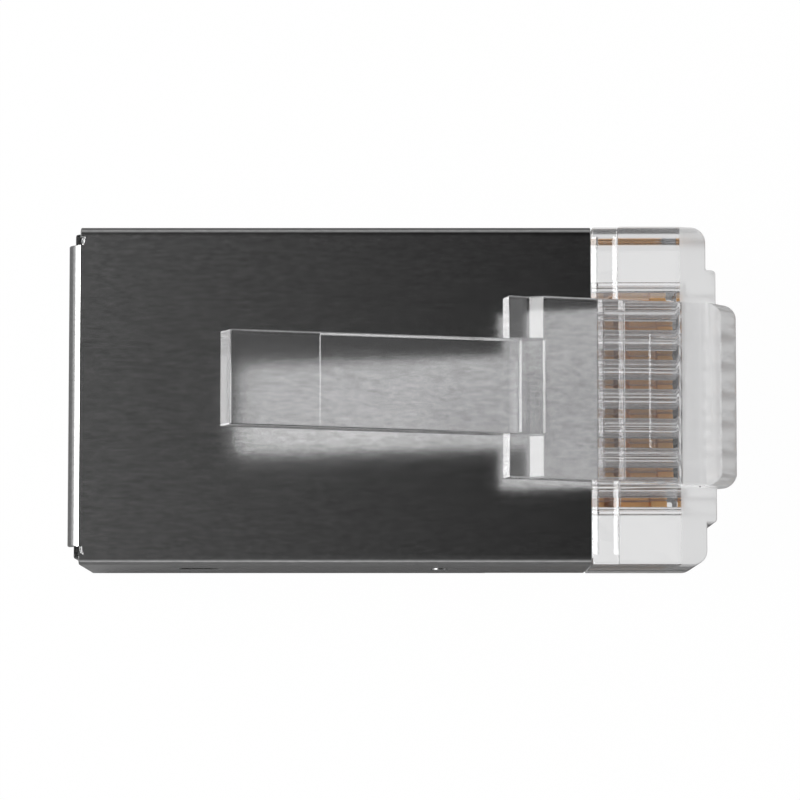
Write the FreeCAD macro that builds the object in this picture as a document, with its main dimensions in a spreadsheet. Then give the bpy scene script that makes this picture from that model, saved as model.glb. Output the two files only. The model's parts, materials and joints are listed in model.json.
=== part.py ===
"""Shielded modular plug: 8 positions, 8 contacts, before a cable is crimped in.

The plug lies on its contact side, latch up. +X points to the nose, +Y across the plug,
+Z up. The origin is at the middle of the plug's box, on the plane that it lies on.
All sizes are in millimetres and degrees.
"""
import FreeCAD, Part
import math
import os
import re
import Sketcher

# ---------------------------------------------------------------- driving sizes
SIZES = [
    # the whole plug
    ("plug_length", 22.92, "rear lip of the shield to the front of the latch root"),
    ("plug_width", 11.60, "across the shield and the nose"),
    ("body_height", 6.60, "contact side to latch side"),
    # folded sheet shield
    ("sheet", 0.20, "thickness of the sheet"),
    ("sheet_play", 0.02, "gap between the sheet and the moulding"),
    ("shield_reach", 17.92, "rear lip to the shield's front edge"),
    ("bend_radius", 0.34, "outside radius of the four long bends"),
    ("lip_radius", 0.54, "outside radius of the rear bend"),
    ("lip_width", 10.34, "rear lip, across the plug"),
    ("lip_drop", 1.05, "rear lip, down from the latch side"),
    ("lip_corner", 0.35, "rounding of the lip's lower corners"),
    ("panel_setback", 0.41, "rear lip to the cut edge of the panels beside it"),
    ("relief_width", 0.25, "notch at each end of the rear bend"),
    ("relief_depth", 0.13, "how far that notch runs into the panel"),
    ("seam", 0.06, "open seam along the contact-side panel"),
    ("deck_reach", 8.50, "front of the root to the contact-side panel"),
    ("wall_foot", 0.45, "height at which the side walls end beside the contacts"),
    ("window_start", 5.80, "rear lip to the window over the strain relief"),
    ("window_length", 3.40, "that window, along the plug"),
    ("window_width", 7.80, "that window, across the plug"),
    ("bump_reach", 12.74, "rear lip to the grounding bumps"),
    ("bump_radius", 0.30, "radius of a grounding bump"),
    ("bump_height", 0.05, "how far a bump stands out of its wall"),
    ("tab_reach", 5.20, "rear lip to the root of the locking tabs"),
    ("tab_length", 1.40, "length of a locking tab"),
    ("tab_height", 1.20, "height of a locking tab"),
    ("tab_slit", 0.12, "slit round a locking tab"),
    ("tab_bite", 0.28, "how far a tab's end is pushed in"),
    ("tab_pocket_gap", 0.15, "gap round a tab in its pocket in the moulding"),
    # nose of the moulding
    ("root_reach", 1.04, "latch root, ahead of the side shoulders"),
    ("comb_reach", 0.35, "comb, ahead of the side shoulders"),
    ("comb_width", 8.70, "comb, across the plug"),
    ("nose_corner", 0.50, "rounding of the side shoulders, seen from above"),
    ("comb_corner", 0.15, "rounding of the comb's corners"),
    ("foot_round", 0.30, "rounding of the comb's and shoulders' lower front edges"),
    ("band_length", 0.93, "lower band between the shield and the full-height nose"),
    ("slope_run", 1.02, "slope at the front of the latch side, along the plug"),
    ("slope_drop", 0.36, "fall of that slope"),
    # contacts
    ("pitch", 1.02, "from one contact to the next"),
    ("contact_count", 8, "contacts side by side"),
    ("blade_thickness", 0.32, "sheet of the contact blades"),
    ("blade_length", 5.90, "length of a blade"),
    ("blade_height", 3.30, "lower edge to the tips of the prongs"),
    ("blade_base", 1.90, "solid part below the prongs"),
    ("blade_lift", 0.15, "how far the blades lie above the contact side"),
    ("blade_corner", 0.40, "rounding of the lower corners, where a socket's spring slides"),
    ("prong_width", 0.55, "width of a prong at its foot"),
    ("prong_tip", 0.12, "width of a prong at its tip"),
    ("prong_shoulder", 0.60, "height of the locking shoulders beside the prongs"),
    ("slot_play", 0.02, "gap at each side of a blade"),
    ("slot_wall", 1.26, "comb front to the end of the blade slots"),
    ("slot_front_gap", 0.25, "end of a slot to the front of its blade"),
    ("slot_rear_gap", 0.10, "rear of a blade to the rear end of its slot"),
    ("mouth_width", 0.56, "wide outer part of a slot"),
    ("mouth_depth", 1.45, "depth of the wide part"),
    ("channel_width", 0.92, "width and height of a wire channel"),
    ("channel_corner", 0.28, "rounding of a wire channel's long corners"),
    ("channel_level", 4.45, "height of the wire channels' axes"),
    # cable cavity and strain relief
    ("cavity_width", 8.50, "cable cavity, across the plug"),
    ("cavity_floor", 1.00, "height of the cavity's floor"),
    ("roof_wall", 1.08, "wall between the cavity and the latch side"),
    ("cavity_depth", 9.60, "straight part of the cavity"),
    ("funnel_length", 3.00, "taper from the cavity to the wire channels"),
    ("bar_start", 5.95, "housing's rear face to the strain-relief bar's pocket"),
    ("bar_length", 2.60, "strain-relief bar, along the plug"),
    ("bar_width", 6.80, "strain-relief bar, across the plug"),
    ("bar_gap", 0.25, "gap round the bar"),
    ("bar_web", 0.22, "thin webs that hold the bar until it is pushed in"),
    ("bar_sink", 0.05, "top of the bar, below the cavity's floor"),
    ("rear_bevel", 0.22, "bevel under the shield's rear bend"),
    # latch
    ("hinge_setback", 1.30, "front of the root to the bending line"),
    ("hinge_rise", 0.12, "bending line, above the latch side"),
    ("hinge_thickness", 0.60, "thickness at the bending line"),
    ("hinge_play", 0.03, "gap in the round seat at the bending line"),
    ("seat_low_gap", 2.0, "seat's lower edge, past the pressed arm, in degrees"),
    ("seat_high_gap", 4.0, "seat's upper edge, ahead of the free arm, in degrees"),
    ("arm_angle", 22.0, "rise of the free arm"),
    ("press_angle", 17.5, "travel of the latch when it is pressed down"),
    ("root_width", 6.30, "latch root, across the plug"),
    ("root_corner", 0.50, "rounding of the root's corners, seen from above"),
    ("root_rise", 0.28, "top of the root above the bending line"),
    ("root_top_run", 0.59, "sloped front of the root, along the plug"),
    ("root_lip_drop", 0.45, "latch side down to the upper edge of the root's front face"),
    ("root_chin_fall", 1.15, "latch side down to the lower edge of the root's front face"),
    ("root_chin_drop", 0.70, "fall of the root's underside back to the comb"),
    ("arm_width", 6.22, "arm at the bending line, across the plug"),
    ("shoulder_width", 6.10, "arm at its shoulders, across the plug"),
    ("ridge_run", 6.11, "bending line to the ridge, along the arm"),
    ("ridge_thickness", 1.00, "thickness of the arm at the ridge"),
    ("wing_run", 7.27, "bending line to the shoulders, along the arm"),
    ("wing_ramp", 0.46, "ramp behind the ridge, along the arm"),
    ("wing_thickness", 0.67, "thickness of the wings at the shoulders"),
    ("handle_ramp", 0.84, "ramp from the ridge to the handle, along the arm"),
    ("handle_step", 0.10, "fall of that ramp"),
    ("handle_turn", 3.0, "how much flatter than the arm the handle lies"),
    ("handle_run", 10.10, "ramp to the handle's tip"),
    ("handle_thickness", 0.95, "thickness of the handle"),
    ("handle_width", 3.20, "handle at its root, across the plug"),
    ("handle_tip_width", 3.12, "handle at its tip, across the plug"),
    ("handle_lap", 0.50, "how far the handle runs into the arm"),
    ("grip_run", 3.35, "thinned end of the handle"),
    ("grip_step", 0.07, "how much thinner that end is"),
    ("recess_margin", 0.06, "gap at each side of the arm in its recess"),
    ("recess_lead", 0.15, "recess, behind the full-height nose"),
    ("recess_depth", 0.38, "depth of the recess under the arm"),
    ("well_lead", 1.07, "full-height nose to the deeper well"),
    ("well_width", 4.05, "deeper well under the bending line"),
    ("well_depth", 0.68, "latch side down to the floor of the deeper well"),
    # margins of the outlines that cut or join
    ("cut_over", 1.00, "how far a cutting outline runs past the face that it cuts"),
    ("cut_lap", 0.10, "how far one outline runs into the next"),
]

doc = FreeCAD.newDocument("modular_plug")
sheet = doc.addObject("Spreadsheet::Sheet", "sizes")
for row, (alias, amount, note) in enumerate(SIZES, start=1):
    sheet.set("A%d" % row, alias)
    sheet.set("B%d" % row, str(amount))
    sheet.set("C%d" % row, note)
    sheet.setAlias("B%d" % row, alias)
doc.recompute()
ALIASES = {alias for alias, amount, note in SIZES}

# Places along and across the plug, each worked out from the sheet's cells.
PLACES = {
    "front": "(plug_length / 2)",
    "rear": "(0 - plug_length / 2)",
    "shoulder_front": "(front - root_reach)",
    "comb_front": "(shoulder_front + comb_reach)",
    "shield_front": "(rear + shield_reach)",
    "nose_back": "(shield_front + 2 * sheet_play)",
    "step_line": "(shield_front + band_length)",
    "core_width": "(plug_width - 2 * sheet - 2 * sheet_play)",
    "core_bottom": "(sheet + sheet_play)",
    "core_top": "(body_height - sheet - sheet_play)",
    "core_rear": "(rear + sheet + sheet_play)",
    "panel_rear": "(rear + panel_setback)",
    "deck_rear": "(front - deck_reach)",
    "hinge_place": "(front - hinge_setback)",
    "hinge_level": "(body_height + hinge_rise)",
    "seat_radius": "(hinge_thickness / 2 + hinge_play)",
    "recess_level": "(body_height - recess_depth)",
    "well_level": "(body_height - well_depth)",
    "root_lip_level": "(body_height - root_lip_drop)",
    "root_chin_level": "(body_height - root_chin_fall)",
    "cavity_roof": "(body_height - roof_wall)",
    "slot_front": "(comb_front - slot_wall)",
    "blade_front": "(slot_front - slot_front_gap)",
    "blade_rear": "(blade_front - blade_length)",
    "slot_rear": "(blade_rear - slot_rear_gap)",
    "channel_bottom": "(channel_level - channel_width / 2)",
    "cavity_end": "(core_rear + cavity_depth)",
    "funnel_end": "(cavity_end + funnel_length)",
    "bar_rear": "(core_rear + bar_start)",
    "first_contact": "(0 - pitch * (contact_count - 1) / 2)",
    "recess_width": "(arm_width + 2 * recess_margin)",
}


def cell(text):
    """Write out a short formula with the sheet's full cell names."""
    def full(match):
        word = match.group()
        if word in PLACES:
            return cell(PLACES[word])
        if word in ALIASES:
            return "sizes." + word
        return word
    return re.sub(r"[a-z][a-z_]+", full, str(text))


def number(text):
    """The present value of a formula, as a plain number."""
    found = sheet.evalExpression(cell(text))
    return float(getattr(found, "Value", found))


# ---------------------------------------------------------------- building helpers
def new_body(name):
    """An empty body whose label is the name of its node."""
    body = doc.addObject("PartDesign::Body", name)
    body.Label = name
    return body


def origin_item(body, role):
    """The body's own origin plane or axis with this role."""
    return [item for item in body.Origin.OriginFeatures if item.Role == role][0]


def new_sketch(body, name, plane, lift="0"):
    """An empty sketch on one of the body's origin planes, lifted off it by a formula."""
    sketch = body.newObject("Sketcher::SketchObject", name)
    sketch.AttachmentSupport = [(origin_item(body, plane), "")]
    sketch.MapMode = "FlatFace"
    sketch.setExpression("AttachmentOffset.Base.z", cell(lift))
    return sketch


def hold(sketch, kind, geometry, vertex, formula):
    """Hold a point of the sketch at a distance from the sketch's origin."""
    rule = Sketcher.Constraint(kind, -1, 1, geometry, vertex, number(formula))
    sketch.setExpression("Constraints[%d]" % sketch.addConstraint(rule), cell(formula))


def side_of(corner, following):
    """The line or arc from one corner of an outline to the next."""
    start = FreeCAD.Vector(number(corner[0]), number(corner[1]), 0)
    end = FreeCAD.Vector(number(following[0]), number(following[1]), 0)
    if len(corner) == 2:
        return Part.LineSegment(start, end)
    centre = FreeCAD.Vector(number(corner[2]), number(corner[3]), 0)
    if corner[4] < 0:
        start, end = end, start
    angles = [math.atan2(spot.y - centre.y, spot.x - centre.x) for spot in (start, end)]
    if angles[1] < angles[0]:
        angles[1] += 2 * math.pi
    ring = Part.Circle(centre, FreeCAD.Vector(0, 0, 1), start.sub(centre).Length)
    return Part.ArcOfCircle(ring, angles[0], angles[1])


def add_polygon(sketch, corners):
    """Closed outline; each corner is a pair of formulas. Three more values, the centre
    and +1 or -1, make the side that follows an arc, anticlockwise or clockwise."""
    first = sketch.GeometryCount
    count = len(corners)
    starts = [2 if len(corner) > 2 and corner[4] < 0 else 1 for corner in corners]
    for i in range(count):
        sketch.addGeometry(side_of(corners[i], corners[(i + 1) % count]))
    for i in range(count):
        after = (i + 1) % count
        joint = (first + i, 3 - starts[i], first + after, starts[after])
        sketch.addConstraint(Sketcher.Constraint("Coincident", *joint))
    for i, corner in enumerate(corners):
        hold(sketch, "DistanceX", first + i, starts[i], corner[0])
        hold(sketch, "DistanceY", first + i, starts[i], corner[1])
        if len(corner) > 2:
            hold(sketch, "DistanceX", first + i, 3, corner[2])


def polygon(body, name, plane, corners, lift="0"):
    sketch = new_sketch(body, name, plane, lift)
    add_polygon(sketch, corners)
    return sketch


def rectangle(low_u, high_u, low_v, high_v):
    """Corners of a rectangle from four formulas."""
    return [(low_u, low_v), (high_u, low_v), (high_u, high_v), (low_u, high_v)]


def rounded_square(u, v, half, corner):
    """Corners of a square about (u, v), each corner of it an anticlockwise arc."""
    low_u, high_u = "%s - %s" % (u, half), "%s + %s" % (u, half)
    low_v, high_v = "%s - %s" % (v, half), "%s + %s" % (v, half)
    left, right = "%s + %s" % (low_u, corner), "%s - %s" % (high_u, corner)
    under, over = "%s + %s" % (low_v, corner), "%s - %s" % (high_v, corner)
    return [
        (left, low_v),
        (right, low_v, right, under, 1),
        (high_u, under),
        (high_u, over, right, over, 1),
        (right, high_v),
        (left, high_v, left, over, 1),
        (low_u, over),
        (low_u, under, left, under, 1),
    ]


def circle(body, name, plane, u, v, radius, lift="0"):
    sketch = new_sketch(body, name, plane, lift)
    centre = FreeCAD.Vector(number(u), number(v), 0)
    sketch.addGeometry(Part.Circle(centre, FreeCAD.Vector(0, 0, 1), number(radius)))
    rule = Sketcher.Constraint("Radius", 0, number(radius))
    sketch.setExpression("Constraints[%d]" % sketch.addConstraint(rule), cell(radius))
    hold(sketch, "DistanceX", 0, 3, u)
    hold(sketch, "DistanceY", 0, 3, v)
    return sketch


def extrude(body, kind, name, sketch, length, symmetric=False, flip=False):
    """A Pad or Pocket of the sketch; a pocket that removes nothing is an error."""
    before = body.Shape.Volume if kind == "Pocket" else 0
    feature = body.newObject("PartDesign::" + kind, name)
    feature.Profile = sketch
    feature.Type = "Length"
    feature.SideType = "Symmetric" if symmetric else "One side"
    feature.Reversed = flip
    feature.setExpression("Length", cell(length))
    doc.recompute()
    if kind == "Pocket" and feature.Shape.Volume > before - 1e-6:
        raise RuntimeError(name + " removes nothing")
    return feature


def pad(body, name, sketch, length, symmetric=False, flip=False):
    return extrude(body, "Pad", name, sketch, length, symmetric, flip)


def pocket(body, name, sketch, length, symmetric=False, flip=False):
    return extrude(body, "Pocket", name, sketch, length, symmetric, flip)


def row_of_contacts(body, name, features):
    """Repeat cuts across the plug, once for each contact."""
    pattern = body.newObject("PartDesign::LinearPattern", name)
    pattern.Originals = features
    pattern.Direction = (origin_item(body, "Y_Axis"), [""])
    pattern.Mode = "Spacing"
    pattern.setExpression("Offset", cell("pitch"))
    pattern.setExpression("Occurrences", cell("contact_count"))
    body.Tip = pattern
    doc.recompute()
    return pattern


def mirror_across(body, name, features):
    """Repeat features on the other side of the plug's middle plane."""
    twin = body.newObject("PartDesign::Mirrored", name)
    twin.Originals = features
    twin.MirrorPlane = (origin_item(body, "XZ_Plane"), [""])
    body.Tip = twin
    doc.recompute()
    return twin


def named_edges(body):
    """The tip's edges with their names."""
    return [("Edge%d" % i, edge) for i, edge in enumerate(body.Tip.Shape.Edges, start=1)]


def edges_where(body, test):
    """Names of the tip's edges whose middle and direction pass a test."""
    names = []
    for i, edge in enumerate(body.Tip.Shape.Edges, start=1):
        middle = edge.valueAt((edge.FirstParameter + edge.LastParameter) / 2)
        run = edge.Vertexes[-1].Point.sub(edge.Vertexes[0].Point)
        if run.Length > 1e-6 and test(middle, run.normalize(), edge.Length):
            names.append("Edge%d" % i)
    return names


def near(a, b):
    return abs(a - b) < 0.004


def soften(body, kind, name, edges, amount):
    """A Fillet or Chamfer on the named edges of the tip."""
    if not edges:
        raise RuntimeError(name + " finds no edge")
    base = body.Tip
    feature = body.newObject("PartDesign::" + kind, name)
    feature.Base = (base, edges)
    size = "Radius" if kind == "Fillet" else "Size"
    feature.setExpression(size, cell(amount))
    doc.recompute()
    return feature


def along(run, axis):
    """True where an edge runs along X, Y or Z (0, 1 or 2)."""
    return abs(run[axis]) > 0.999


# ---------------------------------------------------------------- the moulding
def add_core_and_nose(body):
    """Core under the shield, deck under the contacts, and the full-width nose."""
    core = rectangle("core_rear", "nose_back + cut_over", "core_bottom", "core_top")
    pad(body, "core", polygon(body, "core_side", "XZ_Plane", core), "core_width", True)
    deck = rectangle("deck_rear + sheet_play", "nose_back + cut_over", "0", "core_bottom + cut_over")
    pad(body, "deck", polygon(body, "deck_side", "XZ_Plane", deck), "core_width", True)
    half = "plug_width / 2"
    comb = "comb_width / 2"
    plan = [
        ("nose_back", "0 - " + half),
        ("shoulder_front", "0 - " + half),
        ("shoulder_front", "0 - " + comb),
        ("comb_front", "0 - " + comb),
        ("comb_front", comb),
        ("shoulder_front", comb),
        ("shoulder_front", half),
        ("nose_back", half),
    ]
    pad(body, "nose", polygon(body, "nose_plan", "XY_Plane", plan), "body_height")


def round_the_nose(body):
    """Rounded corners of the shoulders and the comb, and their lower front edges."""
    side = number("plug_width / 2")
    shoulder = number("shoulder_front")
    comb_side = number("comb_width / 2")
    comb = number("comb_front")
    corners = edges_where(body, lambda at, run, size: along(run, 2)
                          and near(abs(at.y), side) and near(at.x, shoulder))
    soften(body, "Fillet", "shoulder_corners", corners, "nose_corner")
    corners = edges_where(body, lambda at, run, size: along(run, 2)
                          and near(abs(at.y), comb_side) and near(at.x, comb))
    soften(body, "Fillet", "comb_corners", corners, "comb_corner")


def cut_latch_side(body):
    """Lower band ahead of the shield, front slope, and lower front edge of the comb."""
    band = rectangle("nose_back - cut_over", "step_line", "core_top", "body_height + cut_over")
    pocket(body, "band", polygon(body, "band_side", "XZ_Plane", band),
           "plug_width + cut_over", True)
    slope = [
        ("shoulder_front - slope_run", "body_height"),
        ("shoulder_front", "body_height - slope_drop"),
        ("front", "body_height - slope_drop * (1 + root_reach / slope_run)"),
        ("front", "body_height + cut_over"),
        ("shoulder_front - slope_run", "body_height + cut_over"),
    ]
    pocket(body, "front_slope", polygon(body, "slope_side", "XZ_Plane", slope),
           "plug_width + cut_over", True)
    comb = number("comb_front")
    shoulder = number("shoulder_front")
    low = edges_where(body, lambda at, run, size: along(run, 1) and near(at.z, 0)
                      and (near(at.x, comb) or near(at.x, shoulder)))
    soften(body, "Fillet", "feet", low, "foot_round")


def add_latch_root(body):
    """Root of the latch: it stands ahead of the comb and carries the bending line."""
    low_turn = "(270 - arm_angle + press_angle + seat_low_gap)"
    high_turn = "(90 - arm_angle - seat_high_gap)"
    side = [
        ("shoulder_front - cut_over", "recess_level"),
        ("hinge_place + seat_radius * cos(%s * 1 deg)" % low_turn, "recess_level"),
        ("hinge_place + seat_radius * cos(%s * 1 deg)" % low_turn,
         "hinge_level + seat_radius * sin(%s * 1 deg)" % low_turn),
        ("hinge_place + seat_radius * cos(%s * 1 deg)" % high_turn,
         "hinge_level + seat_radius * sin(%s * 1 deg)" % high_turn),
        ("front - root_top_run", "hinge_level + root_rise"),
        ("front", "root_lip_level"),
        ("front", "root_chin_level"),
        ("comb_front", "root_chin_level - root_chin_drop"),
        ("shoulder_front - cut_over", "root_chin_level - root_chin_drop"),
    ]
    recess = rectangle("step_line - recess_lead", "hinge_place + seat_radius",
                       "recess_level", "body_height + cut_over")
    pocket(body, "recess", polygon(body, "recess_side", "XZ_Plane", recess),
           "recess_width", True)
    pad(body, "latch_root", polygon(body, "root_side", "XZ_Plane", side),
        "root_width", True)
    tip = number("front")
    corners = edges_where(body, lambda at, run, size: along(run, 2) and near(at.x, tip))
    front = number("front - root_top_run / 2")
    sloped = edges_where(body, lambda at, run, size: abs(run.y) < 0.01
                         and abs(run.x) > 0.2 and abs(run.z) > 0.2 and near(at.x, front))
    chin = number("(front + comb_front) / 2")
    under = edges_where(body, lambda at, run, size: abs(run.y) < 0.01
                        and abs(run.x) > 0.2 and abs(run.z) > 0.2 and near(at.x, chin))
    soften(body, "Fillet", "root_corners", corners + sloped + under, "root_corner")
    seat = circle(body, "seat_side", "XZ_Plane", "hinge_place", "hinge_level", "seat_radius")
    pocket(body, "seat", seat, "root_width + cut_over", True)
    well = rectangle("step_line + well_lead", "hinge_place - seat_radius",
                     "well_level", "body_height")
    pocket(body, "well", polygon(body, "well_side", "XZ_Plane", well), "well_width", True)


def cut_cable_cavity(body):
    """Cable cavity, open at the rear, tapering to the row of wire channels."""
    channel_top = "channel_level + channel_width / 2"
    side = [
        ("core_rear - cut_over", "cavity_floor"),
        ("cavity_end", "cavity_floor"),
        ("funnel_end", "channel_bottom"),
        ("funnel_end", channel_top),
        ("cavity_end", "cavity_roof"),
        ("core_rear - cut_over", "cavity_roof"),
    ]
    pocket(body, "cavity", polygon(body, "cavity_side", "XZ_Plane", side),
           "cavity_width", True)
    rear = number("core_rear")
    top = number("core_top")
    edge = edges_where(body, lambda at, run, size: along(run, 1)
                       and near(at.x, rear) and near(at.z, top))
    soften(body, "Chamfer", "under_the_bend", edge, "rear_bevel")


def cut_contact_row(body):
    """Wire channel, blade slot and wide slot mouth, repeated for each contact."""
    profile = rounded_square("first_contact", "channel_level",
                             "channel_width / 2", "channel_corner")
    channel = polygon(body, "channel_end", "YZ_Plane", profile, "funnel_end - cut_lap")
    bore = pocket(body, "channel", channel, "slot_front - funnel_end + cut_lap", flip=True)
    slot = rectangle("slot_rear", "slot_front",
                     "first_contact - blade_thickness / 2 - slot_play",
                     "first_contact + blade_thickness / 2 + slot_play")
    narrow = pocket(body, "slot", polygon(body, "slot_plan", "XY_Plane", slot),
                    "channel_level", flip=True)
    mouth = rectangle("slot_rear", "comb_front + cut_over",
                      "first_contact - mouth_width / 2", "first_contact + mouth_width / 2")
    wide = pocket(body, "mouth", polygon(body, "mouth_plan", "XY_Plane", mouth),
                  "mouth_depth", flip=True)
    row_of_contacts(body, "contact_row", [bore, narrow, wide])


def add_strain_relief(body):
    """Bar in the contact side that is pushed up onto the cable by the crimping tool."""
    hole = rectangle("bar_rear", "bar_rear + bar_length + 2 * bar_gap",
                     "0", "cavity_floor + cut_over")
    pocket(body, "bar_hole", polygon(body, "bar_hole_side", "XZ_Plane", hole),
           "bar_width + 2 * bar_gap", True)
    bar = [
        ("bar_rear - cut_lap", "core_bottom"),
        ("bar_rear + bar_length + bar_gap", "core_bottom"),
        ("bar_rear + bar_length + bar_gap", "cavity_floor - bar_sink"),
        ("bar_rear + bar_length", "cavity_floor - bar_sink"),
        ("bar_rear + bar_gap", "core_bottom + bar_web"),
        ("bar_rear - cut_lap", "core_bottom + bar_web"),
    ]
    pad(body, "bar", polygon(body, "bar_side", "XZ_Plane", bar), "bar_width", True)
    web = rectangle("bar_rear + bar_length + bar_gap - cut_lap",
                    "bar_rear + bar_length + 2 * bar_gap + cut_lap",
                    "core_bottom", "core_bottom + bar_web")
    pad(body, "bar_front_web", polygon(body, "web_side", "XZ_Plane", web),
        "bar_width / 2", True)


def cut_tab_pockets(body):
    """Side pockets that the shield's locking tabs bite into."""
    side = rectangle("rear + tab_reach - tab_length - 2 * tab_pocket_gap", "rear + tab_reach + cut_lap",
                     "core_width / 2 - tab_bite - sheet - cut_lap", "core_width / 2 + cut_over")
    plan = polygon(body, "tab_pocket_plan", "XY_Plane", side,
                   "body_height / 2 - tab_height / 2 - tab_pocket_gap")
    one = pocket(body, "tab_pocket", plan, "tab_height + 2 * tab_pocket_gap", flip=True)
    mirror_across(body, "tab_pockets", [one])


def make_housing():
    body = new_body("housing")
    add_core_and_nose(body)
    round_the_nose(body)
    cut_latch_side(body)
    add_latch_root(body)
    cut_cable_cavity(body)
    cut_contact_row(body)
    add_strain_relief(body)
    cut_tab_pockets(body)
    return body


# ---------------------------------------------------------------- the latch
def add_arm(body):
    """Arm that thickens to the ridge, falls to the wings and ends in the shoulders."""
    foot = "0 - hinge_thickness / 2"
    side = [
        ("0", foot),
        ("0", "hinge_thickness / 2"),
        ("0 - ridge_run", foot + " + ridge_thickness"),
        ("0 - ridge_run - wing_ramp", foot + " + wing_thickness"),
        ("0 - wing_run", foot + " + wing_thickness"),
        ("0 - wing_run", foot),
    ]
    pad(body, "arm", polygon(body, "arm_side", "XZ_Plane", side), "arm_width", True)
    round_end = circle(body, "arm_end", "XZ_Plane", "0", "0", "hinge_thickness / 2")
    pad(body, "arm_root", round_end, "arm_width", True)
    trim = [
        ("0", "arm_width / 2"),
        ("0 - wing_run", "shoulder_width / 2"),
        ("0 - wing_run - cut_over", "shoulder_width / 2"),
        ("0 - wing_run - cut_over", "arm_width / 2 + cut_over"),
        ("0", "arm_width / 2 + cut_over"),
    ]
    plan = polygon(body, "arm_trim_plan", "XY_Plane", trim)
    one = pocket(body, "arm_trim", plan, "4 * ridge_thickness", True)
    mirror_across(body, "arm_trims", [one])


def add_handle(body):
    """Narrow handle from the ridge to the fingertip, thinned at its grip end."""
    inside = "ridge_run - handle_lap"
    top = "(ridge_thickness - hinge_thickness / 2)"
    start = "(ridge_run + handle_ramp)"
    level = "(%s - handle_step)" % top
    slant = "cos(handle_turn * 1 deg)"
    fall = "sin(handle_turn * 1 deg)"
    tip = "(%s + handle_run * %s)" % (start, slant)
    tip_level = "(%s - handle_run * %s)" % (level, fall)
    grip = "(%s + (handle_run - grip_run) * %s)" % (start, slant)
    grip_level = "(%s - (handle_run - grip_run) * %s)" % (level, fall)
    thin = "(handle_thickness - grip_step)"
    side = [
        ("0 - (%s)" % inside, "%s - cut_lap" % top),
        ("0 - ridge_run", top),
        ("0 - " + start, level),
        ("0 - " + tip, tip_level),
        ("0 - %s - %s * %s" % (tip, thin, fall), "%s - %s * %s" % (tip_level, thin, slant)),
        ("0 - %s - %s * %s" % (grip, thin, fall), "%s - %s * %s" % (grip_level, thin, slant)),
        ("0 - %s - handle_thickness * %s" % (grip, fall),
         "%s - handle_thickness * %s" % (grip_level, slant)),
        ("0 - %s - handle_thickness * %s" % (start, fall),
         "%s - handle_thickness * %s" % (level, slant)),
        ("0 - (%s)" % inside, "0 - hinge_thickness / 2 + cut_lap"),
    ]
    pad(body, "handle", polygon(body, "handle_side", "XZ_Plane", side),
        "handle_width", True)
    trim = [
        ("0 - wing_run", "handle_width / 2"),
        ("0 - %s - cut_over" % tip, "handle_tip_width / 2"),
        ("0 - %s - cut_over" % tip, "handle_width / 2 + cut_over"),
        ("0 - wing_run", "handle_width / 2 + cut_over"),
    ]
    plan = polygon(body, "handle_trim_plan", "XY_Plane", trim)
    one = pocket(body, "handle_trim", plan, "8 * handle_thickness", True)
    mirror_across(body, "handle_trims", [one])


def make_latch():
    """The latch is drawn lying flat from its bending line, then turned to its free rise."""
    body = new_body("latch")
    add_arm(body)
    add_handle(body)
    body.Placement = FreeCAD.Placement(FreeCAD.Vector(0, 0, 0),
                                       FreeCAD.Rotation(FreeCAD.Vector(0, 1, 0), 1))
    body.setExpression("Placement.Base.x", cell("hinge_place"))
    body.setExpression("Placement.Base.z", cell("hinge_level"))
    body.setExpression("Placement.Rotation.Angle", cell("arm_angle * 1 deg"))
    return body


# ---------------------------------------------------------------- the shield
def fold_tube(body):
    """Sheet folded round the core: two side walls and two panels with round bends."""
    outer = rectangle("panel_rear", "shield_front", "0", "body_height")
    pad(body, "wrap", polygon(body, "wrap_side", "XZ_Plane", outer), "plug_width", True)
    long_edges = edges_where(body, lambda at, run, size: along(run, 0))
    soften(body, "Fillet", "outer_bends", long_edges, "bend_radius")
    inner = rectangle("0 - plug_width / 2 + sheet", "plug_width / 2 - sheet",
                      "sheet", "body_height - sheet")
    hollow = polygon(body, "hollow_end", "YZ_Plane", inner, "panel_rear - cut_over")
    pocket(body, "hollow", hollow, "plug_length", flip=True)
    inside = number("plug_width / 2 - sheet")
    long_edges = edges_where(body, lambda at, run, size: along(run, 0)
                             and near(abs(at.y), inside))
    soften(body, "Fillet", "inner_bends", long_edges, "bend_radius - sheet")


def add_rear_lip(body):
    """Lip bent down over the housing's rear edge, with a notch at each end."""
    bend = ("rear + lip_radius", "body_height - lip_radius")
    side = [
        ("rear", "body_height - lip_drop"),
        ("rear + sheet", "body_height - lip_drop"),
        ("rear + sheet", "body_height - lip_radius") + bend + (-1,),
        ("rear + lip_radius", "body_height - sheet"),
        ("rear + lip_radius + relief_width", "body_height - sheet"),
        ("rear + lip_radius + relief_width", "body_height"),
        ("rear + lip_radius", "body_height") + bend + (1,),
        ("rear", "body_height - lip_radius"),
    ]
    pad(body, "lip", polygon(body, "lip_side", "XZ_Plane", side), "lip_width", True)
    low = number("body_height - lip_drop")
    side_of_lip = number("lip_width / 2")
    corners = edges_where(body, lambda at, run, size: along(run, 0)
                          and near(at.z, low) and near(abs(at.y), side_of_lip))
    soften(body, "Fillet", "lip_corners", corners, "lip_corner")
    notch = rectangle("panel_rear - cut_over", "panel_rear + relief_depth",
                      "lip_width / 2", "lip_width / 2 + relief_width")
    plan = polygon(body, "notch_plan", "XY_Plane", notch, "body_height - 2 * sheet")
    one = pocket(body, "notch", plan, "3 * sheet", flip=True)
    mirror_across(body, "notches", [one])


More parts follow.
